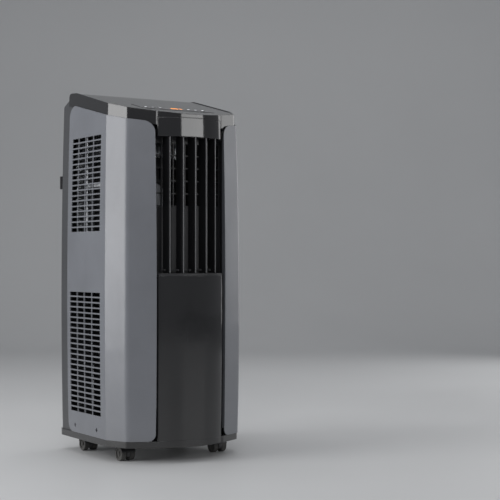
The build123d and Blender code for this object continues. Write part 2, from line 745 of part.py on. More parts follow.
# ---- closed air duct from the blower to the outlet guard -----------------------------------------
duct_top = outlet_z - duct_wall
air_duct = block(-duct_x - duct_wall, duct_x + duct_wall, duct_y, case_y0, duct_top, outlet_z)
for side in (-1, 1):
    air_duct += block(side * duct_x, side * (duct_x + duct_wall), tray_front + 3, case_y0, tray_top, duct_top)
save(air_duct, "air_duct")


def shaft(z, y0, y1):
    return rod_y(shaft_r, 0, z, y0, y1)


wheel_y0 = case_y0 + 7
wheel_y1 = wheel_y0 + blower_len
wheel = rod_y(blower_r, 0, blower_z, wheel_y0, wheel_y0 + 2)
wheel += rod_y(12, 0, blower_z, wheel_y0, wheel_y0 + 22)
wheel_ring = rod_y(blower_r, 0, blower_z, wheel_y1 - 2, wheel_y1)
wheel += wheel_ring - rod_y(blower_r - 14, 0, blower_z, wheel_y1 - 3, wheel_y1 + 1)
vane_count = 24
for number in range(vane_count):
    vane = Pos(blower_r - 7, (wheel_y0 + wheel_y1) / 2, 0) * Rot(0, 25, 0) * Box(12, blower_len - 2, 1.6)
    wheel += Pos(0, 0, blower_z) * Rot(0, number * 360 / vane_count, 0) * vane
wheel -= rod_y(shaft_r, 0, blower_z, wheel_y0 - 1, wheel_y0 + 23)
save(wheel, "blower_wheel")
blower_motor_y1 = case_y0
blower_motor_y0 = blower_motor_y1 - motor_len
save(shaft(blower_z, blower_motor_y0 + 6, wheel_y0 + 22), "blower_shaft")


def motor(z, y0, y1, foot_z):
    """A round motor on a foot, with a clear hole for its shaft."""
    body = fillet(rod_y(motor_r, 0, z, y0, y1).edges(), 3.0)
    body += block(-20, 20, y0 + 6, y1 - 6, foot_z, z - motor_r + 4)
    return body - rod_y(shaft_r + run, 0, z, y0 + 5, y1 + 1)


save(motor(blower_z, blower_motor_y0, blower_motor_y1, tray_top), "blower_motor")

# ---- condenser fan -------------------------------------------------------------------------------
shroud_y1 = collar_y0
shroud_y0 = shroud_y1 - 40
shroud_half = fan_r + 18
shroud = block(-shroud_half, shroud_half, shroud_y0, shroud_y1, floor_z, tray_z - gap)
shroud -= rod_y(fan_r + 4, 0, fan_z, shroud_y0 - 1, shroud_y1 + 1)
shroud_x = shroud_half - 4
shroud -= block(-shroud_x, shroud_x, shroud_y0 + 3, shroud_y1 + 1, floor_z + 4, fan_z - shroud_half)
save(shroud, "fan_shroud")
fan_y0 = shroud_y0 + 8
fan_y1 = fan_y0 + 22
fan = rod_y(20, 0, fan_z, fan_y0, fan_y1)
fan_blades = 7
for number in range(fan_blades):
    vane = Pos(18 + (fan_r - 18) / 2, (fan_y0 + fan_y1) / 2, 0) * Rot(32, 0, 0) * Box(fan_r - 18, 2.2, 30)
    fan += Pos(0, 0, fan_z) * Rot(0, number * 360 / fan_blades, 0) * vane
fan = fan & rod_y(fan_r, 0, fan_z, fan_y0 - 5, fan_y1 + 5)
fan -= rod_y(shaft_r, 0, fan_z, fan_y0 - 6, fan_y1 + 6)
save(fan, "condenser_fan")
fan_motor_y1 = fan_y0 - 4
fan_motor_y0 = fan_motor_y1 - motor_len
save(shaft(fan_z, fan_motor_y0 + 6, fan_y1), "fan_shaft")
save(motor(fan_z, fan_motor_y0, fan_motor_y1, floor_z), "fan_motor")

# ---- compressor, pipes and power box -------------------------------------------------------------
comp_y = cond_y - compressor_r - 26
compressor = rod(compressor_r, 0, comp_y, floor_z + 14, floor_z + 14 + compressor_h)
compressor = fillet(compressor.edges(), 20.0)
for turn in (90, 210, 330):
    fx = (compressor_r + 6) * cos(radians(turn))
    fy = comp_y + (compressor_r + 6) * sin(radians(turn))
    compressor += rod(9, fx, fy, floor_z + 12, floor_z + 15)
    compressor += rod(7, fx, fy, floor_z, floor_z + 12)
compressor += rod(compressor_r + 4, 0, comp_y, floor_z + 40, floor_z + 43)
comp_top = floor_z + 14 + compressor_h
compressor += rod(6, 0, comp_y, comp_top - 2, comp_top + 6)
save(compressor, "compressor")

pipe_r = 4.0
pipes = []
(x1, y1), (x2, y2) = pipe_spots
runs = [
    [(14, comp_y, comp_top), (14, comp_y, comp_top + 40), (x1, y1, comp_top + 40), (x1, y1, tray_top + 60)],
    [(-14, comp_y, comp_top), (-14, comp_y, comp_top + 62), (x2, y2, comp_top + 62), (x2, y2, tray_top + 60)],
]
for run_points in runs:
    path = FilletPolyline(*run_points, radius=16.0)
    pipes.append(sweep(Plane(path @ 0, z_dir=path % 0) * Circle(pipe_r), path=path))
save(Compound(children=pipes), "refrigerant_pipes")

box_x1 = frame_x - 5
power_box = block(case_half + 4, box_x1, case_y0 - 20, case_y0 + 55, tray_top, tray_top + 150)
save(fillet(power_box.edges().filter_by(Axis.Z), 3.0), "power_box")

# ---- casters -------------------------------------------------------------------------------------
axle_z = wheel_r
hood_r = wheel_r + 1.2
for number, (x, y) in enumerate(caster_spots, start=1):
    wheel_y = y + trail
    full = web_w / 2 + 0.6 + wheel_w
    hood = rod_x(hood_r, wheel_y, axle_z, x - full, x + full)
    hood -= rod_x(wheel_r + 0.5, wheel_y, axle_z, x - full - 1, x + full + 1)
    hood = hood & block(x - full, x + full, wheel_y - 30, wheel_y + 30, axle_z + 4, caster_height)
    fork = hood + rod_x(wheel_r + 0.6, wheel_y, axle_z, x - web_w / 2, x + web_w / 2) & block(
        x - full, x + full, wheel_y - 30, wheel_y + 30, axle_z - 6, caster_height - 0.4)
    fork += rod(10.5, x, y, caster_height - 5, caster_height - 0.4) - rod_x(
        wheel_r + 0.5, wheel_y, axle_z, x - full, x + full)
    fork += rod(stem_r, x, y, caster_height - 5, caster_height + stem_len)
    fork -= rod_x(axle_r + run, wheel_y, axle_z, x - web_w, x + web_w)
    save(fork, f"caster_{number}_fork")
    wheels = rod_x(axle_r, wheel_y, axle_z, x - full, x + full)
    for side in (-1, 1):
        near = x + side * (web_w / 2 + 0.6)
        far = x + side * full
        tyre = rod_x(wheel_r, wheel_y, axle_z, near, far)
        tyre = fillet(tyre.edges(), 1.6)
        tyre -= rod_x(wheel_r - 5, wheel_y, axle_z, far - side * 2, far + side)
        wheels += tyre
    wheels += rod_x(axle_r + 1.5, wheel_y, axle_z, x - full, x - web_w / 2 - 0.6)
    wheels += rod_x(axle_r + 1.5, wheel_y, axle_z, x + web_w / 2 + 0.6, x + full)
    save(wheels, f"caster_{number}_wheels")
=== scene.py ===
# %% [markdown]
# # A tall cabinet dehumidifier
# The cabinet, its louvers, keys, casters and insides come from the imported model, already in place.
# This lesson dresses them: it sets the view, lays a floor, lights the stage, makes each finish from
# nodes, and adds the printed and lit details that sit on the control panel.

# %% Load the frame
import json
import math

import bpy
import bmesh
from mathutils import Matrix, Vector


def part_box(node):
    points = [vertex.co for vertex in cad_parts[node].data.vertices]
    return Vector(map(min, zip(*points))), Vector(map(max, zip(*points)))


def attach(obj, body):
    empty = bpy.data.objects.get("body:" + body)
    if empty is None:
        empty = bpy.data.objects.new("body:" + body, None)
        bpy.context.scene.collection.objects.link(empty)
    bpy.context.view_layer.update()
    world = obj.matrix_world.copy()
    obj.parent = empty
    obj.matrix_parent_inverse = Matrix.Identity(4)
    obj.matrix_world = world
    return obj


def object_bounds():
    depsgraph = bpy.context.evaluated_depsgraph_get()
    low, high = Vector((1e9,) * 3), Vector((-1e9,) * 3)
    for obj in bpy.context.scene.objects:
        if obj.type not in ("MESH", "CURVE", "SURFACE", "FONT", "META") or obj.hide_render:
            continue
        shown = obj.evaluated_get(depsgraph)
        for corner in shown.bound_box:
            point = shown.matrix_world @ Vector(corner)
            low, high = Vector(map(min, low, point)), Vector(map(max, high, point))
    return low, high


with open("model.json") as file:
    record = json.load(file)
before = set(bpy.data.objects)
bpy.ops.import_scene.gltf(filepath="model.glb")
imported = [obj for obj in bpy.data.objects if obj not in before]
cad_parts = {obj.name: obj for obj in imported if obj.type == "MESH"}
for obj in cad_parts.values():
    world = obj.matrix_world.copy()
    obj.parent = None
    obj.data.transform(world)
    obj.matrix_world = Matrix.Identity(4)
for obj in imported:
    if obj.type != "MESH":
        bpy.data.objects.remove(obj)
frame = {"nodes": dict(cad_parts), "record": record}
cad_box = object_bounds()
nodes = frame["nodes"]
print("CAD box", [[round(v, 4) for v in corner] for corner in cad_box])

# %% [markdown]
# The camera stands low and to the front left, level, as for a catalogue picture of furniture.
# A long lens keeps the uprights parallel, and a small upward shift frames the object without
# tilting the camera, so vertical edges stay vertical.

# %% The camera
view_angle = math.radians(32.76)
eye = Vector((-1.3123, -2.4158, 0.4134))
camera_data = bpy.data.cameras.new("long_lens")
camera_data.sensor_width = 36.0
camera_data.lens = 91.9
camera_data.shift_y = 0.0181
camera_data.clip_end = 60.0
camera = bpy.data.objects.new("camera", camera_data)
camera.location = eye
camera.rotation_euler = (math.radians(90), 0, -view_angle)
bpy.context.scene.collection.objects.link(camera)
bpy.context.scene.camera = camera
print("camera at", tuple(eye), "lens", camera_data.lens)

# %% [markdown]
# A plain pale floor that curves up into a backdrop far behind the cabinet leaves no horizon line.
# It is one swept strip: a profile of points carried sideways. It isn't part of the object.

# %% The floor and backdrop
floor_half = 6.0
backdrop_y = 4.5
sweep_radius = 1.6


def swept_floor():
    profile = [(-5.0, 0.0), (backdrop_y - sweep_radius, 0.0)]
    for step in range(1, 17):
        turn = math.radians(90 * step / 16)
        profile.append((backdrop_y - sweep_radius + sweep_radius * math.sin(turn),
                        sweep_radius - sweep_radius * math.cos(turn)))
    profile.append((backdrop_y, 5.0))
    mesh = bpy.data.meshes.new("studio_floor")
    points = [(side * floor_half, y, z) for y, z in profile for side in (-1, 1)]
    faces = [(2 * i, 2 * i + 1, 2 * i + 3, 2 * i + 2) for i in range(len(profile) - 1)]
    mesh.from_pydata(points, [], faces)
    for polygon in mesh.polygons:
        polygon.use_smooth = True
    floor = bpy.data.objects.new("studio_floor", mesh)
    floor.rotation_euler = (0, 0, -view_angle)
    bpy.context.scene.collection.objects.link(floor)
    return floor


floor = swept_floor()
print("floor swept over", len(floor.data.polygons), "faces")

# %% [markdown]
# Soft boxes give a plastic cabinet its form. The tall box on the left shows in the corner facet
# as a bright band. The one on the right draws a line down the black front's rounded edge.
# A wide, low one in front shows as a pale block in the glossy band over the louvers. One overhead
# and one high in front fill the top and the grey panels, and the world adds a little even light.

# %% The lights
def soft_box(name, place, aim, width, height, power):
    data = bpy.data.lights.new(name, "AREA")
    data.shape = "RECTANGLE"
    data.size = width
    data.size_y = height
    data.energy = power
    light = bpy.data.objects.new(name, data)
    light.location = place
    light.rotation_euler = (Vector(aim) - Vector(place)).to_track_quat("-Z", "Y").to_euler()
    bpy.context.scene.collection.objects.link(light)
    return light


body_middle = (0, 0, cad_box[1][2] / 2)
soft_box("left_box", (-2.1, 0.28, 0.85), body_middle, 1.2, 1.65, 33)
soft_box("right_box", (2.6, 0.5, 0.95), body_middle, 1.5, 1.7, 13)
soft_box("over_box", (0.0, 0.5, 2.8), body_middle, 2.4, 1.8, 24)
soft_box("front_box", (-2.0, -3.2, 2.6), body_middle, 1.4, 1.0, 28)
soft_box("block_box", (1.50, -3.16, 1.2), (0, 0, 0.7), 2.6, 0.7, 22)
world = bpy.data.worlds.new("even_fill")
world.use_nodes = True
world.node_tree.nodes["Background"].inputs["Color"].default_value = (0.78, 0.80, 0.84, 1)
world.node_tree.nodes["Background"].inputs["Strength"].default_value = 0.32
bpy.context.scene.world = world
bpy.context.scene.view_settings.view_transform = "Standard"

# %% [markdown]
# Effects that several finishes share are node groups. **Moulded grain** is the fine pebbling that a
# textured mould leaves: two sizes of noise added into one height, and a slow drift that makes one
# stretch a little darker than the next.

# %% Group: moulded grain
def new_group(name, inputs, outputs):
    group = bpy.data.node_groups.new(name, "ShaderNodeTree")
    for label, kind, value in inputs:
        socket = group.interface.new_socket(name=label, in_out="INPUT", socket_type=kind)
        socket.default_value = value
    for label, kind in outputs:
        group.interface.new_socket(name=label, in_out="OUTPUT", socket_type=kind)
    return group, group.nodes.new("NodeGroupInput"), group.nodes.new("NodeGroupOutput")


def node(tree, kind, **settings):
    made = tree.nodes.new(kind)
    for key, value in settings.items():
        setattr(made, key, value)
    return made


def math_node(tree, operation, first, second=None):
    made = node(tree, "ShaderNodeMath", operation=operation)
    for slot, value in enumerate((first, second)):
        if value is None:
            continue
        if isinstance(value, (int, float)):
            made.inputs[slot].default_value = value
        else:
            tree.links.new(value, made.inputs[slot])
    return made.outputs[0]


FLOAT = "NodeSocketFloat"
grain, grain_in, grain_out = new_group(
    "moulded_grain", [("Pebble Scale", FLOAT, 900.0), ("Drift Scale", FLOAT, 9.0)],
    [("Height", FLOAT), ("Drift", FLOAT), ("Fleck", FLOAT)])
where = node(grain, "ShaderNodeTexCoord").outputs["Object"]


def noise(tree, vector, scale, detail=3.0, roughness=0.55):
    made = node(tree, "ShaderNodeTexNoise")
    tree.links.new(vector, made.inputs["Vector"])
    if isinstance(scale, (int, float)):
        made.inputs["Scale"].default_value = scale
    else:
        tree.links.new(scale, made.inputs["Scale"])
    made.inputs["Detail"].default_value = detail
    made.inputs["Roughness"].default_value = roughness
    return made.outputs["Fac"]


fine = noise(grain, where, grain_in.outputs["Pebble Scale"], 2.0)
coarse = noise(grain, where, math_node(grain, "MULTIPLY", grain_in.outputs["Pebble Scale"], 0.31), 3.0)
fine_share = math_node(grain, "MULTIPLY", fine, 0.6)
coarse_share = math_node(grain, "MULTIPLY", coarse, 0.4)
height = math_node(grain, "ADD", fine_share, coarse_share)
grain.links.new(height, grain_out.inputs["Height"])
grain.links.new(noise(grain, where, grain_in.outputs["Drift Scale"], 4.0), grain_out.inputs["Drift"])
flecks = node(grain, "ShaderNodeTexVoronoi", feature="F1")
grain.links.new(where, flecks.inputs["Vector"])
grain.links.new(grain_in.outputs["Pebble Scale"], flecks.inputs["Scale"])
fleck = math_node(grain, "LESS_THAN", flecks.outputs["Distance"], 0.16)
grain.links.new(fleck, grain_out.inputs["Fleck"])
print("group", grain.name, "with", len(grain.nodes), "nodes")

# %% [markdown]
# **Edge rub** finds the corners. A bevelled normal leans away from the true one only near an edge, so
# one minus their dot product is a mask of the rim; noise breaks it up, because hands and feet
# rub a case unevenly. The same bevelled normal also rounds sharp corners where light catches them.

# %% Group: edge rub
rub, rub_in, rub_out = new_group(
    "edge_rub", [("Reach", FLOAT, 0.0012), ("Patchiness", FLOAT, 30.0)],
    [("Mask", FLOAT), ("Rounded Normal", "NodeSocketVector")])
bevelled = node(rub, "ShaderNodeBevel", samples=4)
rub.links.new(rub_in.outputs["Reach"], bevelled.inputs["Radius"])
true_normal = node(rub, "ShaderNodeNewGeometry").outputs["Normal"]
dot = node(rub, "ShaderNodeVectorMath", operation="DOT_PRODUCT")
rub.links.new(bevelled.outputs["Normal"], dot.inputs[0])
rub.links.new(true_normal, dot.inputs[1])
lean = math_node(rub, "MULTIPLY", math_node(rub, "SUBTRACT", 1.0, dot.outputs["Value"]), 6.0)
rub_where = node(rub, "ShaderNodeTexCoord").outputs["Object"]
patches = noise(rub, rub_where, rub_in.outputs["Patchiness"], 5.0, 0.65)
mask = node(rub, "ShaderNodeMath", operation="MULTIPLY", use_clamp=True)
rub.links.new(lean, mask.inputs[0])
rub.links.new(patches, mask.inputs[1])
rub.links.new(mask.outputs[0], rub_out.inputs["Mask"])
rub.links.new(bevelled.outputs["Normal"], rub_out.inputs["Rounded Normal"])
print("group", rub.name, "with", len(rub.nodes), "nodes")

# %% [markdown]
# **Handling** is what use leaves: faint smears that change the gloss, hair-fine scratches, and a
# little dust that settles low down and on faces that look up.

# %% Group: handling
use, use_in, use_out = new_group(
    "handling", [("Smear Scale", FLOAT, 14.0), ("Dust Height", FLOAT, 0.12)],
    [("Smear", FLOAT), ("Scratch", FLOAT), ("Dust", FLOAT)])
use_where = node(use, "ShaderNodeTexCoord").outputs["Object"]
stretched = node(use, "ShaderNodeMapping")
stretched.inputs["Scale"].default_value = (1.0, 1.0, 0.35)
stretched.inputs["Rotation"].default_value = (0.3, 0.2, 0.5)
use.links.new(use_where, stretched.inputs["Vector"])
smears = noise(use, stretched.outputs["Vector"], use_in.outputs["Smear Scale"], 6.0, 0.6)
use.links.new(smears, use_out.inputs["Smear"])
hair = node(use, "ShaderNodeMapping")
hair.inputs["Scale"].default_value = (260.0, 260.0, 9.0)
hair.inputs["Rotation"].default_value = (0.12, 0.5, 0.3)
use.links.new(use_where, hair.inputs["Vector"])
hair_noise = noise(use, hair.outputs["Vector"], 1.0, 1.0)
use.links.new(math_node(use, "GREATER_THAN", hair_noise, 0.73), use_out.inputs["Scratch"])
split = node(use, "ShaderNodeSeparateXYZ")
use.links.new(use_where, split.inputs[0])
low = node(use, "ShaderNodeMapRange")
use.links.new(split.outputs["Z"], low.inputs["Value"])
use.links.new(use_in.outputs["Dust Height"], low.inputs["From Min"])
low.inputs["From Max"].default_value = 0.0
facing = node(use, "ShaderNodeSeparateXYZ")
use.links.new(node(use, "ShaderNodeNewGeometry").outputs["Normal"], facing.inputs[0])
up = node(use, "ShaderNodeMath", operation="MULTIPLY", use_clamp=True)
use.links.new(facing.outputs["Z"], up.inputs[0])
up.inputs[1].default_value = 0.5
dust_sum = math_node(use, "MAXIMUM", low.outputs["Result"], up.outputs[0])
speck = noise(use, use_where, 420.0, 2.0, 0.7)
use.links.new(math_node(use, "MULTIPLY", dust_sum, speck), use_out.inputs["Dust"])
print("group", use.name, "with", len(use.nodes), "nodes")

# %% [markdown]
# Most of the cabinet is moulded plastic, so one recipe builds those finishes: base colour with a
# slow drift, paler rubbed edges and dust; a roughness that drifts and smears; and the grain as a
# bump over the rounded normal. Each finish gives its own colours, its glossiest and dullest
# roughness, its grain depth in metres and how many pebbles a metre of it would hold.

# %% The moulded recipe
finishes = {}
dust_colour = (0.33, 0.32, 0.30)


def blend_colour(tree, factor, first, second):
    mix = node(tree, "ShaderNodeMix", data_type="RGBA")
    tree.links.new(factor, mix.inputs["Factor"])
    for slot, value in ((6, first), (7, second)):
        if isinstance(value, tuple):
            mix.inputs[slot].default_value = (*value, 1.0)
        else:
            tree.links.new(value, mix.inputs[slot])
    return mix.outputs[2]


def start_material(name):
    material = bpy.data.materials.new(name)
    material.use_nodes = True
    tree = material.node_tree
    finishes[name] = material
    return tree, tree.nodes["Principled BSDF"]


def place_group(tree, group, **values):
    made = node(tree, "ShaderNodeGroup", node_tree=group)
    for label, value in values.items():
        made.inputs[label.replace("_", " ")].default_value = value
    return made


def spread(tree, factor, low_value, high_value):
    """Carry a 0 to 1 factor to a range of values."""
    made = node(tree, "ShaderNodeMapRange")
    tree.links.new(factor, made.inputs["Value"])
    made.inputs["From Min"].default_value = 0.3
    made.inputs["From Max"].default_value = 0.7
    made.inputs["To Min"].default_value = low_value
    made.inputs["To Max"].default_value = high_value
    return made.outputs["Result"]


def moulded(name, colour, rubbed, gloss, grain_depth, pebbles, dust, coat=0.0, reach=0.0012, fleck=0.0):
    tree, shader = start_material(name)
    grains = place_group(tree, grain, Pebble_Scale=pebbles)
    edges = place_group(tree, rub, Reach=reach)
    wear = place_group(tree, use)
    darker = tuple(c * 0.86 for c in colour)
    base = blend_colour(tree, spread(tree, grains.outputs["Drift"], 0, 1), darker, colour)
    if fleck:
        share = math_node(tree, "MULTIPLY", grains.outputs["Fleck"], fleck)
        base = blend_colour(tree, share, base, rubbed)
    base = blend_colour(tree, math_node(tree, "MULTIPLY", edges.outputs["Mask"], 0.6), base, rubbed)
    base = blend_colour(tree, math_node(tree, "MULTIPLY", wear.outputs["Dust"], dust), base, dust_colour)
    tree.links.new(base, shader.inputs["Base Color"])
    smeared = spread(tree, wear.outputs["Smear"], gloss[0], gloss[1])
    scratched = math_node(tree, "MULTIPLY", wear.outputs["Scratch"], 0.08)
    dusty = math_node(tree, "MULTIPLY", wear.outputs["Dust"], dust * 0.8)
    total = math_node(tree, "ADD", math_node(tree, "ADD", smeared, scratched), dusty)
    tree.links.new(total, shader.inputs["Roughness"])
    bump = node(tree, "ShaderNodeBump")
    bump.inputs["Strength"].default_value = 1.0
    bump.inputs["Distance"].default_value = grain_depth
    tree.links.new(grains.outputs["Height"], bump.inputs["Height"])
    tree.links.new(edges.outputs["Rounded Normal"], bump.inputs["Normal"])
    tree.links.new(bump.outputs["Normal"], shader.inputs["Normal"])
    shader.inputs["Coat Weight"].default_value = coat
    shader.inputs["Coat Roughness"].default_value = 0.06
    return finishes[name]


moulded("grey_panel", (0.155, 0.162, 0.180), (0.30, 0.31, 0.33), (0.30, 0.42),
        grain_depth=0.00002, pebbles=1400.0, dust=0.12, coat=0.15, reach=0.0016, fleck=0.10)
moulded("gloss_black", (0.011, 0.011, 0.012), (0.05, 0.05, 0.055), (0.05, 0.12),
        grain_depth=0.000004, pebbles=500.0, dust=0.05, coat=0.4, reach=0.0022)
moulded("dark_shell", (0.050, 0.052, 0.056), (0.13, 0.13, 0.14), (0.36, 0.50),
        grain_depth=0.00003, pebbles=1100.0, dust=0.15, reach=0.0016, fleck=0.12)
moulded("black_plastic", (0.018, 0.018, 0.020), (0.09, 0.09, 0.095), (0.32, 0.46),
        grain_depth=0.00002, pebbles=1300.0, dust=0.10, reach=0.0010)
moulded("white_plastic", (0.62, 0.62, 0.60), (0.75, 0.75, 0.73), (0.38, 0.52),
        grain_depth=0.00002, pebbles=1000.0, dust=0.2)
print("moulded finishes", sorted(finishes))

# %% [markdown]
# Metal needs its own recipes. Zinc-coated sheet shows crystals, so cells of different brightness
# and roughness; steel shows fine brushed streaks; fins are bare bright metal; copper darkens in
# patches; enamel and paint have a slight orange peel.

# %% Metals
def metal(name, colour, other, gloss, pattern, scale, depth, metallic=1.0):
    tree, shader = start_material(name)
    place = node(tree, "ShaderNodeTexCoord").outputs["Object"]
    edges = place_group(tree, rub, Reach=0.0006)
    wear = place_group(tree, use)
    if pattern == "crystals":
        cells = node(tree, "ShaderNodeTexVoronoi", feature="F1")
        tree.links.new(place, cells.inputs["Vector"])
        cells.inputs["Scale"].default_value = scale
        split_cells = node(tree, "ShaderNodeSeparateColor")
        tree.links.new(cells.outputs["Color"], split_cells.inputs[0])
        change = split_cells.outputs[0]
    elif pattern == "brushed":
        squeeze = node(tree, "ShaderNodeMapping")
        squeeze.inputs["Scale"].default_value = (scale, scale * 0.03, scale)
        tree.links.new(place, squeeze.inputs["Vector"])
        change = noise(tree, squeeze.outputs["Vector"], 1.0, 4.0, 0.7)
    else:
        change = noise(tree, place, scale, 5.0, 0.6)
    base = blend_colour(tree, change, colour, other)
    dusty = math_node(tree, "MULTIPLY", wear.outputs["Dust"], 0.3)
    base = blend_colour(tree, dusty, base, (0.30, 0.28, 0.26))
    tree.links.new(base, shader.inputs["Base Color"])
    tree.links.new(spread(tree, change, gloss[0], gloss[1]), shader.inputs["Roughness"])
    shader.inputs["Metallic"].default_value = metallic
    bump = node(tree, "ShaderNodeBump")
    bump.inputs["Distance"].default_value = depth
    tree.links.new(change, bump.inputs["Height"])
    tree.links.new(edges.outputs["Rounded Normal"], bump.inputs["Normal"])
    tree.links.new(bump.outputs["Normal"], shader.inputs["Normal"])
    return finishes[name]


metal("galvanised", (0.55, 0.56, 0.58), (0.72, 0.73, 0.75), (0.30, 0.50), "crystals", 130.0, 0.00001)
metal("aluminium_fin", (0.62, 0.63, 0.65), (0.80, 0.81, 0.83), (0.25, 0.42), "brushed", 900.0, 0.00001)
metal("steel", (0.45, 0.45, 0.47), (0.62, 0.62, 0.64), (0.22, 0.40), "brushed", 1500.0, 0.00001)
metal("copper", (0.70, 0.33, 0.20), (0.45, 0.20, 0.12), (0.25, 0.45), "patches", 40.0, 0.00001)
metal("compressor_paint", (0.012, 0.012, 0.013), (0.020, 0.020, 0.022), (0.15, 0.30), "patches", 220.0,
      0.00004, metallic=0.0)
metal("motor_steel", (0.30, 0.31, 0.33), (0.38, 0.39, 0.41), (0.35, 0.55), "patches", 160.0, 0.00003,
      metallic=0.3)
print("metals made, finishes now", len(finishes))

# %% [markdown]
# Rubber is dull and a little uneven. The circuit board is green lacquer flecked with solder. The
# display is a smoked window: dark, very smooth, faintly warm. The moulded recipe makes all three.

# %% Rubber, board and display
moulded("rubber", (0.014, 0.014, 0.014), (0.05, 0.05, 0.05), (0.55, 0.75),
        grain_depth=0.00006, pebbles=700.0, dust=0.35, reach=0.0008)
moulded("board", (0.010, 0.120, 0.050), (0.35, 0.33, 0.10), (0.20, 0.35),
        grain_depth=0.00003, pebbles=420.0, dust=0.05, coat=0.5, reach=0.0006, fleck=0.35)
moulded("display", (0.020, 0.010, 0.006), (0.06, 0.03, 0.02), (0.04, 0.08),
        grain_depth=0.000002, pebbles=500.0, dust=0.03, coat=1.0, reach=0.0008)
print("finishes", sorted(finishes))

# %% [markdown]
# The lit segments glow orange, a little uneven in colour from spot to spot. The key symbols are pale
# ink with a weak light behind them, so they can be read in the dark.

# %% Light and ink
tree, shader = start_material("lit_segment")
glow_place = node(tree, "ShaderNodeTexCoord").outputs["Object"]
glow_change = noise(tree, glow_place, 600.0, 2.0)
glow = blend_colour(tree, glow_change, (1.0, 0.22, 0.01), (1.0, 0.42, 0.05))
tree.links.new(glow, shader.inputs["Emission Color"])
lens = blend_colour(tree, glow_change, (0.5, 0.12, 0.01), (0.6, 0.2, 0.03))
tree.links.new(lens, shader.inputs["Base Color"])
shader.inputs["Emission Strength"].default_value = 2.4
shader.inputs["Roughness"].default_value = 0.4

tree, shader = start_material("pale_ink")
ink_place = node(tree, "ShaderNodeTexCoord").outputs["Object"]
ink_change = noise(tree, ink_place, 2500.0, 3.0)
ink = blend_colour(tree, ink_change, (0.70, 0.71, 0.72), (0.86, 0.87, 0.88))
tree.links.new(ink, shader.inputs["Base Color"])
backlight = blend_colour(tree, ink_change, (0.75, 0.78, 0.82), (0.92, 0.95, 1.0))
tree.links.new(backlight, shader.inputs["Emission Color"])
tree.links.new(spread(tree, ink_change, 0.35, 0.55), shader.inputs["Roughness"])
shader.inputs["Emission Strength"].default_value = 1.1
print("lit segment and backlit ink ready")

# %% [markdown]
# The louver blades are satin black. Their front edges carry a painted highlight: a silvery grey line,
# with a little metal in it, standing in for the light the rounded edges catch. The line belongs to
# the part of the blade that looks forward, so the mask comes from the normal in the blade's own
# space, and it turns with the blade.

# %% The louver finish
tree, shader = start_material("louver_black")
louver_grain = place_group(tree, grain, Pebble_Scale=1300.0)
louver_rub = place_group(tree, rub, Reach=0.0010)
louver_use = place_group(tree, use)
own_normal = node(tree, "ShaderNodeTexCoord").outputs["Normal"]
forward = node(tree, "ShaderNodeSeparateXYZ")
tree.links.new(own_normal, forward.inputs[0])
# painted highlight mask: the faces that look forward in the blade's own space
front_edge_painted_highlight = node(tree, "ShaderNodeMapRange")
tree.links.new(forward.outputs["Y"], front_edge_painted_highlight.inputs["Value"])
front_edge_painted_highlight.inputs["From Min"].default_value = -0.35
front_edge_painted_highlight.inputs["From Max"].default_value = -0.8
louver_drift = louver_grain.outputs["Drift"]
louver_base = blend_colour(tree, louver_drift, (0.010, 0.010, 0.011), (0.018, 0.018, 0.020))
# painted highlight: forward faces are mixed to pale grey, standing in for light caught on the edges
louver_base = blend_colour(tree, front_edge_painted_highlight.outputs["Result"], louver_base, (0.14, 0.14, 0.145))
louver_dust = math_node(tree, "MULTIPLY", louver_use.outputs["Dust"], 0.12)
louver_base = blend_colour(tree, louver_dust, louver_base, (0.3, 0.29, 0.27))
tree.links.new(louver_base, shader.inputs["Base Color"])
tree.links.new(spread(tree, louver_use.outputs["Smear"], 0.28, 0.40), shader.inputs["Roughness"])
# the painted highlight also gets some metal, so it shines like the caught light
tree.links.new(math_node(tree, "MULTIPLY", front_edge_painted_highlight.outputs["Result"], 0.4), shader.inputs["Metallic"])
louver_bump = node(tree, "ShaderNodeBump")
louver_bump.inputs["Distance"].default_value = 0.00002
tree.links.new(louver_grain.outputs["Height"], louver_bump.inputs["Height"])
tree.links.new(louver_rub.outputs["Rounded Normal"], louver_bump.inputs["Normal"])
tree.links.new(louver_bump.outputs["Normal"], shader.inputs["Normal"])
print("louver finish ready")

# %% [markdown]
# Each CAD piece names a material slot in the record. The finish with the same name goes on it,
# and the louver blades get their own. The meshes stay as they came: their curves are already fine
# enough, and the rounded normal in each finish softens what facets are left.

# %% Dress the carried-over pieces
slot_of = {entry["node"]: entry["material_slot"] for entry in frame["record"]["subparts"]}


def dress(name, piece):
    wanted = "louver_black" if name.startswith("louver_blade") else slot_of[name]
    piece.data.materials.clear()
    piece.data.materials.append(finishes[wanted])


for name, piece in nodes.items():
    dress(name, piece)
print("dressed", len(nodes), "pieces")

# %% [markdown]
# Small printed and lit details lie on tilted faces. A helper finds a piece's top face from its own
# normal, and builds a flat piece there from outlines drawn in millimetres across and up that face.

# %% Marks on a tilted face
joint_axis = {joint["name"]: Vector(joint["axis"]) for joint in frame["record"]["behaviour"]["joints"]}
face_normal = -joint_axis["key_1_press"].normalized()
across = Vector((1, 0, 0))
upward = face_normal.cross(across).normalized()
MM = 0.001


def top_face(name):
    """The middle of the face of a CAD piece that looks along the panel's normal."""
    points = [v.co for v in nodes[name].data.vertices]
    high = max(p.dot(face_normal) for p in points)
    level = [p for p in points if p.dot(face_normal) > high - 0.00005]
    low_u, high_u = min(p.dot(across) for p in level), max(p.dot(across) for p in level)
    low_v, high_v = min(p.dot(upward) for p in level), max(p.dot(upward) for p in level)
    return across * (low_u + high_u) / 2 + upward * (low_v + high_v) / 2 + face_normal * high


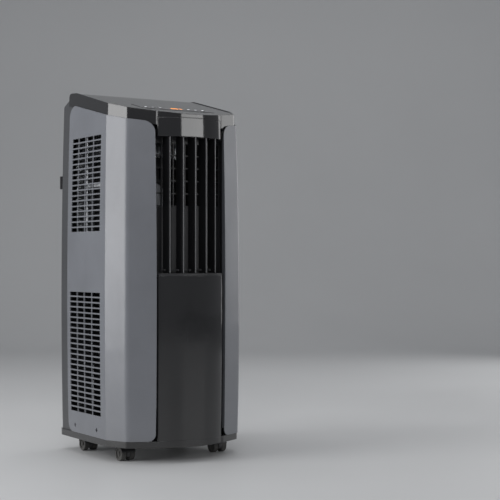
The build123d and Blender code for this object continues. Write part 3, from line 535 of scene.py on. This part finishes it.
def printed(name, outlines, origin, body, finish, thick=0.12, lift=0.02):
    """A thin raised piece made of several outlines, in millimetres, on the tilted face at origin."""
    mesh = bpy.data.meshes.new(name)
    build = bmesh.new()
    for outline in outlines:
        corners = [build.verts.new(origin + across * u * MM + upward * v * MM + face_normal * lift * MM)
                   for u, v in outline]
        build.faces.new(corners)
    raised = bmesh.ops.extrude_face_region(build, geom=build.faces[:])
    moved = [g for g in raised["geom"] if isinstance(g, bmesh.types.BMVert)]
    bmesh.ops.translate(build, verts=moved, vec=face_normal * thick * MM)
    bmesh.ops.recalc_face_normals(build, faces=build.faces[:])
    build.to_mesh(mesh)
    build.free()
    made = bpy.data.objects.new(name, mesh)
    bpy.context.scene.collection.objects.link(made)
    mesh.materials.append(finishes[finish])
    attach(made, body)
    return made


print("panel normal", tuple(round(v, 3) for v in face_normal))

# %% [markdown]
# Numbers on the display are seven-segment digits, each a set of slanted bars with pointed ends.
# They show a room humidity. Two short bars beside them stand for the level.

# %% The lit digits
digit_w, digit_h, bar_t, slant = 5.4, 9.6, 1.15, 0.12
digit_bars = {"5": "afgcd", "0": "abcdef"}


def segment(key):
    half_w, half_h, t = digit_w / 2, digit_h / 2, bar_t / 2
    middles = {"a": (0, half_h, 0), "g": (0, 0, 0), "d": (0, -half_h, 0),
               "b": (half_w, half_h / 2, 1), "c": (half_w, -half_h / 2, 1),
               "e": (-half_w, -half_h / 2, 1), "f": (-half_w, half_h / 2, 1)}
    cx, cy, upright = middles[key]
    reach = (half_h / 2 if upright else half_w) - 0.25
    shape = [(-reach, 0), (-reach + t, -t), (reach - t, -t), (reach, 0), (reach - t, t), (-reach + t, t)]
    if upright:
        shape = [(-y, x) for x, y in shape]
    return [(cx + x, cy + y) for x, y in shape]


def slanted(outline, shift):
    return [(u + shift + v * slant, v) for u, v in outline]


display_top = top_face("display_window")
lit = []
for place, digit in ((-4.6, "5"), (4.6, "0")):
    for key in digit_bars[digit]:
        lit.append(slanted(segment(key), place))
for step in range(3):
    low_edge = -4.6 + step * 3.6
    lit.append([(13.5, low_edge), (16.5, low_edge), (16.5, low_edge + 1.6), (13.5, low_edge + 1.6)])
printed("lit_digits", lit, display_top, "cabinet", "lit_segment")
print("digits in", len(lit), "bars")

# %% [markdown]
# Each key carries a plain symbol: a power ring, plus, minus, a drop, a fan and a clock. Arcs are
# drawn as rings with a gap, made by one helper, so every symbol has the same stroke.

# %% The key symbols
stroke = 0.55


def arc_strip(radius, start, stop, centre=(0, 0), steps=20):
    inner, outer = [], []
    for step in range(steps + 1):
        turn = math.radians(start + (stop - start) * step / steps)
        for ring, r in ((inner, radius - stroke / 2), (outer, radius + stroke / 2)):
            ring.append((centre[0] + r * math.cos(turn), centre[1] + r * math.sin(turn)))
    return [[inner[i], outer[i], outer[i + 1], inner[i + 1]] for i in range(steps)]


def dash(x0, y0, x1, y1):
    length = math.hypot(x1 - x0, y1 - y0)
    nx, ny = -(y1 - y0) / length * stroke / 2, (x1 - x0) / length * stroke / 2
    return [[(x0 + nx, y0 + ny), (x0 - nx, y0 - ny), (x1 - nx, y1 - ny), (x1 + nx, y1 + ny)]]


def fan_mark():
    shapes = arc_strip(0.7, 0, 360, steps=12)
    for turn in (90, 210, 330):
        angle = math.radians(turn)
        middle = (1.9 * math.cos(angle), 1.9 * math.sin(angle))
        shapes += arc_strip(1.0, turn - 100, turn + 150, middle, 12)
    return shapes


symbols = [
    arc_strip(2.4, 125, 415) + dash(0, 0.6, 0, 3.2),
    dash(-2.4, 0, 2.4, 0),
    dash(-2.4, 0, 2.4, 0) + dash(0, -2.4, 0, -0.35) + dash(0, 0.35, 0, 2.4),
    fan_mark(),
    arc_strip(1.8, 150, 390, (0, -0.7)) + dash(-1.55, 0.3, 0, 3.1) + dash(1.55, 0.3, 0, 3.1),
    arc_strip(2.5, 0, 360) + dash(0, 0, 0, 1.7) + dash(0.3, 0, 1.5, 0),
]
key_order = sorted((n for n in nodes if n.startswith("key_")), key=lambda n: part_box(n)[0][0])
for number, (key_name, shapes) in enumerate(zip(key_order, symbols), start=1):
    printed(f"key_mark_{number}", shapes, top_face(key_name), key_name, "pale_ink")
print("symbols on", key_order)

# %% [markdown]
# Screw heads have a cross recess. The head is the CAD piece; the recess is painted shade: a thin dark
# cross laid a hair over its face, standing in for the shadow inside a recess, made from one outline
# of twelve corners on each head.

# %% The screws' cross recesses, as painted shade
cross_arm, cross_half, cross_thick = 1.9, 0.42, 0.0001


def painted_shade_crosses(node_name, axis):
    """A dark cross of painted shade, standing for the recess, on the outer end of every separate screw
    head in a CAD node.
    """
    source = bmesh.new()
    source.from_mesh(nodes[node_name].data)
    todo = set(source.verts)
    heads = []
    while todo:
        island, stack = set(), [todo.pop()]
        while stack:
            vert = stack.pop()
            island.add(vert)
            for edge in vert.link_edges:
                other = edge.other_vert(vert)
                if other in todo:
                    todo.discard(other)
                    stack.append(other)
        heads.append([v.co.copy() for v in island])
    source.free()
    mesh = bpy.data.meshes.new(f"{node_name}_painted_recess_shade")
    build = bmesh.new()
    a, h = cross_arm * MM, cross_half * MM
    plus = [(h, h), (h, a), (-h, a), (-h, h), (-a, h), (-a, -h),
            (-h, -h), (-h, -a), (h, -a), (h, -h), (a, -h), (a, h)]
    flat = [k for k in range(3) if k != axis]
    for points in heads:
        lows = [min(p[k] for p in points) for k in range(3)]
        highs = [max(p[k] for p in points) for k in range(3)]
        centre = [(lo + hi) / 2 for lo, hi in zip(lows, highs)]
        outward = 1 if centre[axis] > 0 else -1
        level = highs[axis] if outward > 0 else lows[axis]
        corners = []
        for u, v in plus:
            spot = [0.0, 0.0, 0.0]
            spot[axis] = level + outward * 0.00002
            spot[flat[0]] = centre[flat[0]] + u
            spot[flat[1]] = centre[flat[1]] + v
            corners.append(build.verts.new(spot))
        build.faces.new(corners)
    raised = bmesh.ops.extrude_face_region(build, geom=build.faces[:])
    moved = [g for g in raised["geom"] if isinstance(g, bmesh.types.BMVert)]
    for vert in moved:
        vert.co[axis] += cross_thick if vert.co[axis] > 0 else -cross_thick
    bmesh.ops.recalc_face_normals(build, faces=build.faces[:])
    build.to_mesh(mesh)
    build.free()
    made = bpy.data.objects.new(f"{node_name}_painted_recess_shade", mesh)
    bpy.context.scene.collection.objects.link(made)
    # painted shade: the near-black rubber finish stands for the shadow inside the recess
    mesh.materials.append(finishes["rubber"])
    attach(made, "cabinet")
    return len(heads)


print("recesses", painted_shade_crosses("side_screws", 0), painted_shade_crosses("rear_screws", 1))

# %% [markdown]
# The floor is painted board: pale, matt, with a faint cloudiness so that it isn't one flat tone.

# %% The floor's finish
tree, shader = start_material("pale_floor")
floor_place = node(tree, "ShaderNodeTexCoord").outputs["Object"]
clouds = noise(tree, floor_place, 1.5, 4.0)
floor_tone = blend_colour(tree, clouds, (0.55, 0.555, 0.56), (0.60, 0.605, 0.61))
tree.links.new(floor_tone, shader.inputs["Base Color"])
tree.links.new(spread(tree, clouds, 0.42, 0.55), shader.inputs["Roughness"])
floor.data.materials.append(finishes["pale_floor"])
print("floor dressed")
